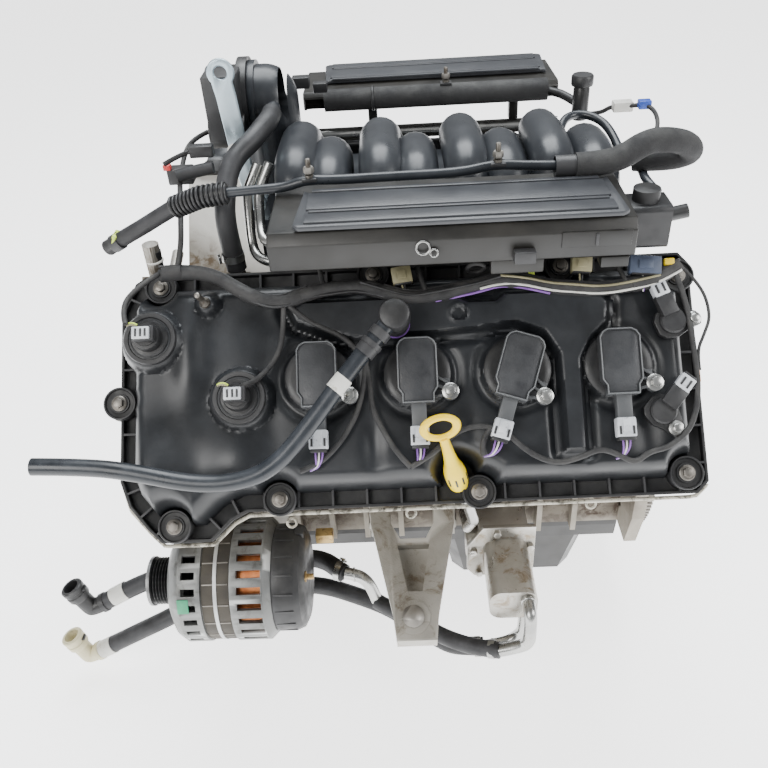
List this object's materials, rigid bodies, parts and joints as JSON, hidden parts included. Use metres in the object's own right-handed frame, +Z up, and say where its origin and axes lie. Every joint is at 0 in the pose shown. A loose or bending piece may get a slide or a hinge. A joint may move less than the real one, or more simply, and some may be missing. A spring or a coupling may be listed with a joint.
{
  "type": "complete v8 engine",
  "caption": "Complete dressed petrol engine with cam covers, coils, intake manifold, front drive, alternator, oil cooler, mounts and hoses.",
  "frame": {"origin": "on the crankshaft axis in the plane of the bell housing face, at the inner end of the crank pilot bore", "axes": "+X to the rear (flywheel end), +Y to the right bank, +Z up"},
  "size_m": [0.8184, 0.7592, 0.789],
  "materials": {
    "cast_iron_grey": "rough",
    "cast_aluminium": "satin",
    "forged_steel": "satin",
    "bright_steel": "satin",
    "zinc_plate": "satin",
    "black_paint": "satin",
    "cover_plastic": "satin",
    "slate_plastic": "satin",
    "black_plastic": "matte",
    "coil_plastic": "matte",
    "plug_plastic": "matte",
    "cream_plastic": "satin",
    "yellow_plastic": "gloss",
    "black_rubber": "matte",
    "loom_tape": "matte"
  },
  "bodies": {
    "engine": {"cylinder_block": "cast_aluminium", "main_bearing_caps": "cast_iron_grey", "connecting_rods": "forged_steel", "pistons": "cast_aluminium", "oil_pan": "black_paint", "oil_pump": "cast_aluminium", "front_cover": "cast_aluminium", "timing_chains": "forged_steel", "chain_guides": "black_plastic", "cylinder_head_left": "cast_aluminium", "cylinder_head_right": "cast_aluminium", "head_gaskets": "bright_steel", "cam_carriers": "cast_aluminium", "valves": "bright_steel", "valve_springs": "forged_steel", "cam_followers": "forged_steel", "cam_cover_left": "cover_plastic", "cam_cover_right": "cover_plastic", "ignition_coils_left": "coil_plastic", "ignition_coils_right": "coil_plastic", "fasteners": "bright_steel", "spark_plugs": "bright_steel", "cam_solenoids": "black_plastic", "cam_sensors": "black_plastic", "intake_manifold": "slate_plastic", "fuel_rails": "bright_steel", "throttle_body": "black_plastic", "rail_covers": "black_plastic", "trim_plates": "slate_plastic", "breather_hose": "black_plastic", "vapour_tubes": "black_plastic", "wiring_harness": "loom_tape", "harness_plugs": "plug_plastic", "alternator_housing": "cast_aluminium", "alternator_bracket": "cast_aluminium", "water_pump": "cast_aluminium", "belt_tensioner": "cast_aluminium", "oil_cooler": "bright_steel", "metal_pipes": "bright_steel", "coolant_hoses": "black_rubber", "quick_connectors": "cream_plastic", "engine_mounts": "cast_aluminium", "dipstick_tube": "bright_steel", "lifting_bracket": "zinc_plate", "intake_actuator": "black_plastic"},
    "crank": {"crankshaft": "forged_steel", "flexplate": "forged_steel", "crank_damper": "black_paint"},
    "left_intake_cam": {"camshaft_left_intake": "forged_steel"},
    "left_exhaust_cam": {"camshaft_left_exhaust": "forged_steel"},
    "right_intake_cam": {"camshaft_right_intake": "forged_steel"},
    "right_exhaust_cam": {"camshaft_right_exhaust": "forged_steel"},
    "alternator_rotor": {"alternator_rotor": "black_paint"},
    "pump_pulley": {"water_pump_pulley": "black_paint"},
    "tensioner_arm": {"tensioner_arm": "cast_aluminium"},
    "tensioner_pulley": {"tensioner_pulley": "black_plastic"},
    "idler_pulley": {"idler_pulley": "black_plastic"},
    "throttle_plate": {"throttle_plate": "bright_steel"},
    "dipstick": {"dipstick": "yellow_plastic"},
    "filler_cap": {"oil_filler_cap": "black_plastic"}
  },
  "joints": [
    {"name": "crank_spin", "type": "hinge", "parent": "engine", "child": "crank", "pos_m": [-0.3, 0, 0], "axis": [1, 0, 0], "continuous": true, "deforming": ["connecting_rods", "pistons"]},
    {"name": "left_intake_cam_spin", "type": "hinge", "parent": "engine", "child": "left_intake_cam", "pos_m": [-0.3, -0.20365, 0.27719], "axis": [1, 0, 0], "continuous": true},
    {"name": "left_exhaust_cam_spin", "type": "hinge", "parent": "engine", "child": "left_exhaust_cam", "pos_m": [-0.3, -0.27719, 0.20365], "axis": [1, 0, 0], "continuous": true},
    {"name": "right_intake_cam_spin", "type": "hinge", "parent": "engine", "child": "right_intake_cam", "pos_m": [-0.3, 0.20365, 0.27719], "axis": [1, 0, 0], "continuous": true},
    {"name": "right_exhaust_cam_spin", "type": "hinge", "parent": "engine", "child": "right_exhaust_cam", "pos_m": [-0.3, 0.27719, 0.20365], "axis": [1, 0, 0], "continuous": true},
    {"name": "alternator_spin", "type": "hinge", "parent": "engine", "child": "alternator_rotor", "pos_m": [-0.6, -0.285, -0.013], "axis": [1, 0, 0], "continuous": true},
    {"name": "pump_spin", "type": "hinge", "parent": "engine", "child": "pump_pulley", "pos_m": [-0.636, 0, 0.158], "axis": [1, 0, 0], "continuous": true},
    {"name": "tensioner_swing", "type": "hinge", "parent": "engine", "child": "tensioner_arm", "pos_m": [-0.62, -0.172, 0.11], "axis": [1, 0, 0], "range_deg": [0, 25], "stiffness_Nm_per_rad": 6, "springref_deg": -20.05},
    {"name": "tensioner_pulley_spin", "type": "hinge", "parent": "tensioner_arm", "child": "tensioner_pulley", "pos_m": [-0.638, -0.112, 0.092], "axis": [1, 0, 0], "continuous": true},
    {"name": "idler_spin", "type": "hinge", "parent": "engine", "child": "idler_pulley", "pos_m": [-0.638, 0.118, 0.08], "axis": [1, 0, 0], "continuous": true},
    {"name": "throttle_turn", "type": "hinge", "parent": "engine", "child": "throttle_plate", "pos_m": [-0.488, 0.038, 0.468], "axis": [0, 1, 0], "range_deg": [0, 83], "stiffness_Nm_per_rad": 0.3, "springref_deg": -17.19},
    {"name": "dipstick_pull", "type": "slide", "parent": "engine", "child": "dipstick", "axis": [-0.2178, -0.1777, 0.9597], "range_m": [0, 0.066]},
    {"name": "filler_cap_turn", "type": "hinge", "parent": "engine", "child": "filler_cap", "pos_m": [-0.498, 0.24042, 0.32527], "axis": [0, 0.7071, 0.7071], "range_deg": [0, 90]}
  ],
  "couplings": [
    {"joint": "left_intake_cam_spin", "follows": "crank_spin", "ratio": 0.5},
    {"joint": "left_exhaust_cam_spin", "follows": "crank_spin", "ratio": 0.5},
    {"joint": "right_intake_cam_spin", "follows": "crank_spin", "ratio": 0.5},
    {"joint": "right_exhaust_cam_spin", "follows": "crank_spin", "ratio": 0.5}
  ]
}
